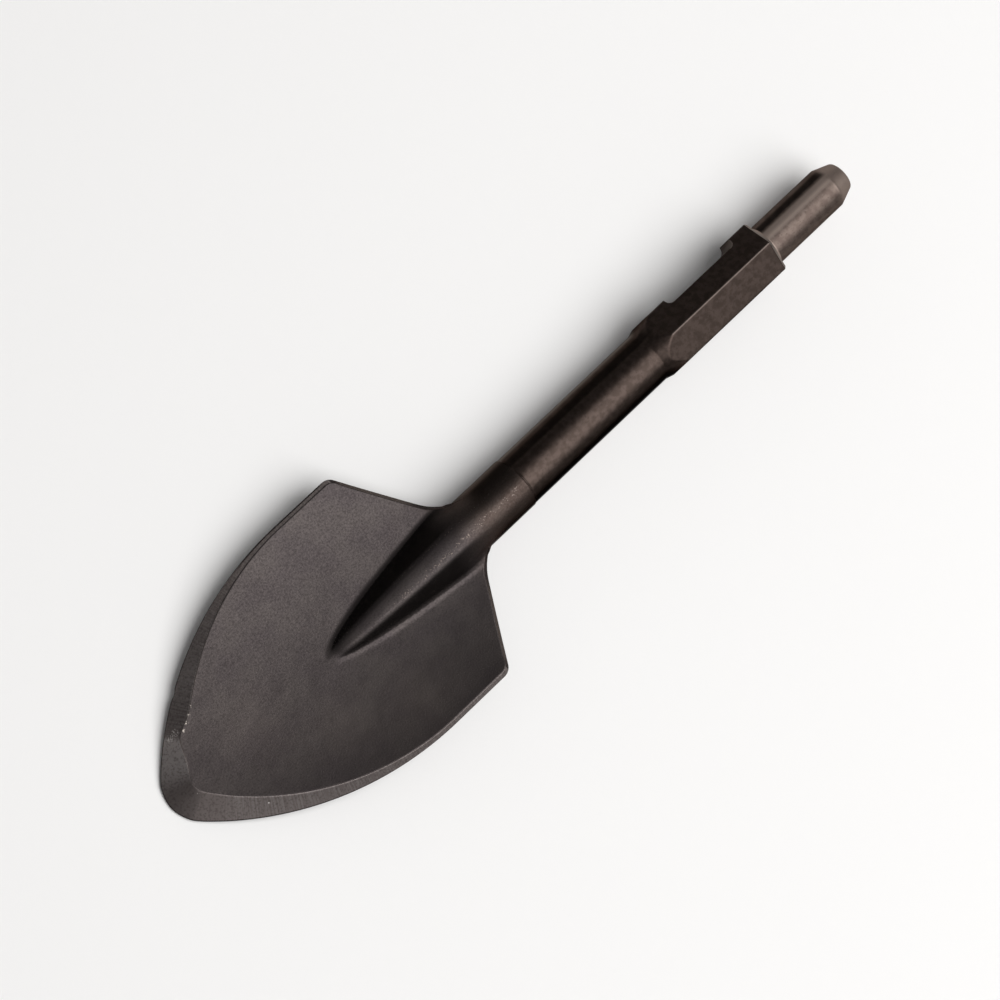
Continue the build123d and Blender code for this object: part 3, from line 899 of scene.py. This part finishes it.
def groundSteel():
    # Ground edge: wheel marks run across the band, and it is already dulled
    look = groundLook
    material, tree, place, noise, marks = startFinish("groundEdgeSteel", look, ("paintedShadeShare", "wornAndLit"))
    spot = addNode(tree, "ShaderNodeAttribute", {"attribute_name": "bandPlace"}).outputs["Vector"]
    lines = drawnLines(tree, spot, look)
    run, (begin, full) = addNode(tree, "ShaderNodeSeparateXYZ", i0=spot), look["marksFrom"]
    marked = addNode(tree, "ShaderNodeMapRange", softRange, i0=run, i1=begin, i2=full, i3=0.15, i4=1.0)
    lineShare = addNode(tree, "ShaderNodeMapRange", softRange, i0=lines, i1=0.36, i2=0.64)
    colour = layColours(tree, hexColour(look["colour"]), [
        (look["bright"], addNode(tree, "ShaderNodeMath", times, i0=lineShare, i1=marked)),
        # painted shade, then wear and painted light
        (look["paintedShade"], marks["paintedShadeShare"]), (look["paleMark"], marks["wornAndLit"]), (look["deep"], noise["grain"]),
        (look["bare"], bareShare(tree, place, noise["speck"])),
    ])
    raised = addNode(tree, "ShaderNodeMath", times, i0=lines, i1=marked)
    height = addNode(tree, "ShaderNodeMath", timesPlus, i0=noise["grain"], i1=0.5, i2=raised)
    metalSurface(tree, look, colour, look["roughness"], height)
    return material


turnedLook = {
    "colour": "352d29", "cloud": ("3f3632", 0.38, 0.62), "deep": ("2a2421", 0.42, 0.3, 0.0, 0.5),
    # the soot colour paints shade; the rubbed colour paints wear and also the painted rim reflection and the
    # painted light on the chamfer
    "paintedShade": ("0d0b0a", 0.0, 1.0, 0.0, 0.94), "paleMark": "8a817b",
    "roughness": 0.37, "edgeTint": "a0a0a0",
    "patterns": {"grain": (1.1, 4.0), "patch": (3.2, 4.0)},
    "lines": (0.7, 33.0, 2.0),               # real feed marks are finer: as coarse as they need to show
    "bump": (0.4, 0.02),
}
pinLook = {
    # the pin slides in the tool holder, which keeps it brighter and its sheen broader
    **turnedLook,
    "colour": "544944", "cloud": ("60554f", 0.38, 0.62), "deep": ("3e3531", 0.42, 0.3, 0.0, 0.5),
    # this light colour paints the pin's highlight streak and the struck cone
    "paleMark": "9e8f86", "roughness": 0.48,
    "patterns": {"grain": (1.1, 4.0), "patch": (3.8, 4.0)}, "lines": (0.6, 33.0, 2.0),
}


def turnedSteel(name, look):
    # Turned steel: faint rings from the lathe under an even oxide colour, with painted shade and painted
    # light over it
    material, tree, place, noise, marks = startFinish(name, look, ("paintedShadeShare", "wornAndLit"))
    colour = layColours(tree, hexColour(look["colour"]), [
        (look["cloud"], noise["patch"]), (look["deep"], noise["grain"]),
        # painted shade, then wear and painted light
        (look["paintedShade"], marks["paintedShadeShare"]), (look["paleMark"], marks["wornAndLit"]),
    ])
    rings = drawnLines(tree, place, look)
    height = addNode(tree, "ShaderNodeMath", timesPlus, i0=noise["grain"], i1=0.6, i2=rings)
    metalSurface(tree, look, colour, look["roughness"], height)
    return material


finishes = [forgeScale(), groundSteel(), turnedSteel("darkTurnedSteel", turnedLook),
            turnedSteel("brightTurnedPin", pinLook)]
print("finishes made")


# Forged skin: a Geometry Nodes tree that works the smooth form
skin = {
    "Wave Height": 0.00025, "Wave Size": 0.021,    # metres
    "Ripple Height": 0.00012, "Ripple Size": 0.0065,
    "Seed": 7.0,
}


def skinTree():
    tree = bpy.data.node_groups.new("forgedSkin", "GeometryNodeTree")
    sockets = [("Geometry", "Geometry"), *((name, "Float") for name in skin)]
    sockets += [(finish.name, "Material") for finish in finishes]
    for name, kind in sockets:
        tree.interface.new_socket(name, in_out="INPUT", socket_type="NodeSocket" + kind)
    tree.interface.new_socket("Geometry", in_out="OUTPUT", socket_type="NodeSocketGeometry")
    given = addNode(tree, "NodeGroupInput").outputs
    place, normal = addNode(tree, "GeometryNodeInputPosition"), addNode(tree, "GeometryNodeInputNormal")
    forged = addNode(tree, "GeometryNodeInputNamedAttribute", Name="forged")
    zone = addNode(tree, "GeometryNodeInputNamedAttribute", {"data_type": "INT"}, Name="zone")
    depth = 0.0
    for kind in ("Wave", "Ripple"):
        scale = addNode(tree, "ShaderNodeMath", {"operation": "DIVIDE"}, i0=1.0, i1=given[kind + " Size"])
        noise = addNode(tree, "ShaderNodeTexNoise", {"noise_dimensions": "4D"}, Vector=place, W=given["Seed"],
                        Scale=scale, Detail=1.0)
        centred = addNode(tree, "ShaderNodeMath", minus, i0=noise, i1=0.5)
        high = addNode(tree, "ShaderNodeMath", times, i0=centred, i1=given[kind + " Height"])
        depth = addNode(tree, "ShaderNodeMath", plus, i0=depth, i1=high)
    outward = addNode(tree, "ShaderNodeMath", times, i0=depth, i1=forged)
    inward = addNode(tree, "ShaderNodeMath", times, i0=outward, i1=-1.0)
    move = addNode(tree, "ShaderNodeVectorMath", {"operation": "SCALE"}, i0=normal, Scale=inward)
    worked = addNode(tree, "GeometryNodeSetPosition", Geometry=given["Geometry"], Offset=move)
    worked = addNode(tree, "GeometryNodeRealizeInstances", Geometry=worked)
    for index, finish in enumerate(finishes):
        here = addNode(tree, "FunctionNodeCompare", {"data_type": "INT", "operation": "EQUAL"},
                       i2=zone, i3=index)
        worked = addNode(tree, "GeometryNodeSetMaterial", Geometry=worked, Selection=here,
                         Material=given[finish.name])
    addNode(tree, "NodeGroupOutput", Geometry=worked)
    return tree


def workedTool():
    holder = addObject("smoothForm", toolMesh())
    modifier = holder.modifiers.new("forgedSkin", "NODES")
    modifier.node_group = skinTree()
    values = {**skin, **{finish.name: finish for finish in finishes}}
    for item in modifier.node_group.interface.items_tree:
        if item.item_type == "SOCKET" and item.in_out == "INPUT" and item.name in values:
            modifier[item.identifier] = values[item.name]
    graph = bpy.context.evaluated_depsgraph_get()
    mesh = bpy.data.meshes.new_from_object(holder.evaluated_get(graph), depsgraph=graph)
    holder.modifiers.remove(modifier)
    bpy.data.objects.remove(holder)
    return addObject("spadeChisel", mesh)


chisel = workedTool()
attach(chisel, "root")
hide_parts("spade_chisel")
print("tool worked:", len(chisel.data.polygons), "faces,", [m.name for m in chisel.data.materials])


# Studio: pale cove, one large soft light, dim surroundings; metres
studio = {
    "floorColour": "f6f5f4", "floorRoughness": 0.9,
    "floorRadius": 5.0, "coveRadius": 1.2, "wallHeight": 1.6, "floorSides": 128,
    "restNose": (-0.463, -0.01117), "restHexagon": (-0.1252, -0.01732),   # where the tool touches the floor
    "gap": 0.0001,           # the floor lies this little below the tool
    "worldColour": "ffffff", "worldStrength": 0.16,
    "lightFrom": (0.286, -0.462, 0.841), "lightAim": (-0.24, 0, 0),
    "lightDistance": 4.0, "lightSize": 4.0, "lightRadiance": 4.0,
}


def cove():
    (x0, z0), (x1, z1) = studio["restNose"], studio["restHexagon"]
    slope = (z1 - z0) / (x1 - x0)
    floorRadius, bend, count = studio["floorRadius"], studio["coveRadius"], studio["floorSides"]
    profile = [(r, 0.0) for r in (0.5, 1.5, 3.0, floorRadius)]
    profile += [(floorRadius + bend * math.sin(t), bend * (1 - math.cos(t)))
                for t in np.linspace(0.15, math.pi / 2, 12)]
    profile.append((floorRadius + bend, bend + studio["wallHeight"]))
    turns = [2 * math.pi * k / count for k in range(count)]
    points = [(0.0, 0.0, 0.0)]
    points += [(r * math.cos(t), r * math.sin(t), height) for r, height in profile for t in turns]
    faces = [(0, 1 + k, 1 + (k + 1) % count) for k in range(count)]
    for low in range(1, 1 + (len(profile) - 1) * count, count):
        high = low + count
        for k in range(count):
            after = (k + 1) % count
            faces.append((low + k, high + k, high + after, low + after))
    shift = z0 - slope * x0 - studio["gap"]
    points = [(x, y, z + shift + slope * x) for x, y, z in points]
    mesh = bpy.data.meshes.new("studioCove")
    mesh.from_pydata(points, [], faces)
    mesh.polygons.foreach_set("use_smooth", np.ones(len(faces), bool))
    # Matt pale paper: an even, soft ground that keeps the tool's shadow
    material = bpy.data.materials.new("palePaper")
    tree = emptyTree(material)
    paper = addNode(tree, "ShaderNodeBsdfPrincipled", Roughness=studio["floorRoughness"])
    paper.inputs["Base Color"].default_value = hexColour(studio["floorColour"])
    addNode(tree, "ShaderNodeOutputMaterial", Surface=paper)
    mesh.materials.append(material)
    floor = addObject("studioCove", mesh)


def softLight():
    lamp = bpy.data.lights.new("softLight", "AREA")
    lamp.shape = "SQUARE"
    lamp.size = studio["lightSize"]
    lamp.energy = studio["lightRadiance"] * math.pi * studio["lightSize"] ** 2
    light = addObject("softLight", lamp)
    direction = Vector(studio["lightFrom"]).normalized()
    light.location = Vector(studio["lightAim"]) + direction * studio["lightDistance"]
    light.rotation_mode = "QUATERNION"
    light.rotation_quaternion = direction.to_track_quat("Z", "Y")


def surroundings():
    world = bpy.data.worlds.new("studioWorld")
    tree = emptyTree(world)
    shader = addNode(tree, "ShaderNodeBackground", Color=hexColour(studio["worldColour"]),
                     Strength=studio["worldStrength"])
    addNode(tree, "ShaderNodeOutputWorld", Surface=shader)
    bpy.context.scene.world = world


cove()
softLight()
surroundings()
print("studio ready")


# Camera, at the photograph's viewing angle
view = {
    "target": (-0.2449, -0.00088, 0.0),
    "from": (-0.2857, 0.0, 0.9583), "distance": 2.0,
    "lens": 149.1, "sensor": 36,
    "axisAngle": 43.46,      # degrees from level to the shank's line in the picture
}
back = Vector(view["from"]).normalized()
shankLine, across = Vector((back.z, 0, -back.x)), Vector((0, 1, 0))
turn = math.radians(view["axisAngle"])
right = math.cos(turn) * shankLine - math.sin(turn) * across
up = math.sin(turn) * shankLine + math.cos(turn) * across
cameraData = bpy.data.cameras.new("camera")
cameraData.lens = view["lens"]
cameraData.sensor_width = view["sensor"]
camera = addObject("camera", cameraData)
camera.matrix_world = Matrix.Translation(Vector(view["target"]) + back * view["distance"]) @ Matrix(
    (right, up, back)).transposed().to_4x4()
bpy.context.scene.camera = camera
bpy.context.scene.view_settings.view_transform = "Standard"
print("camera set")
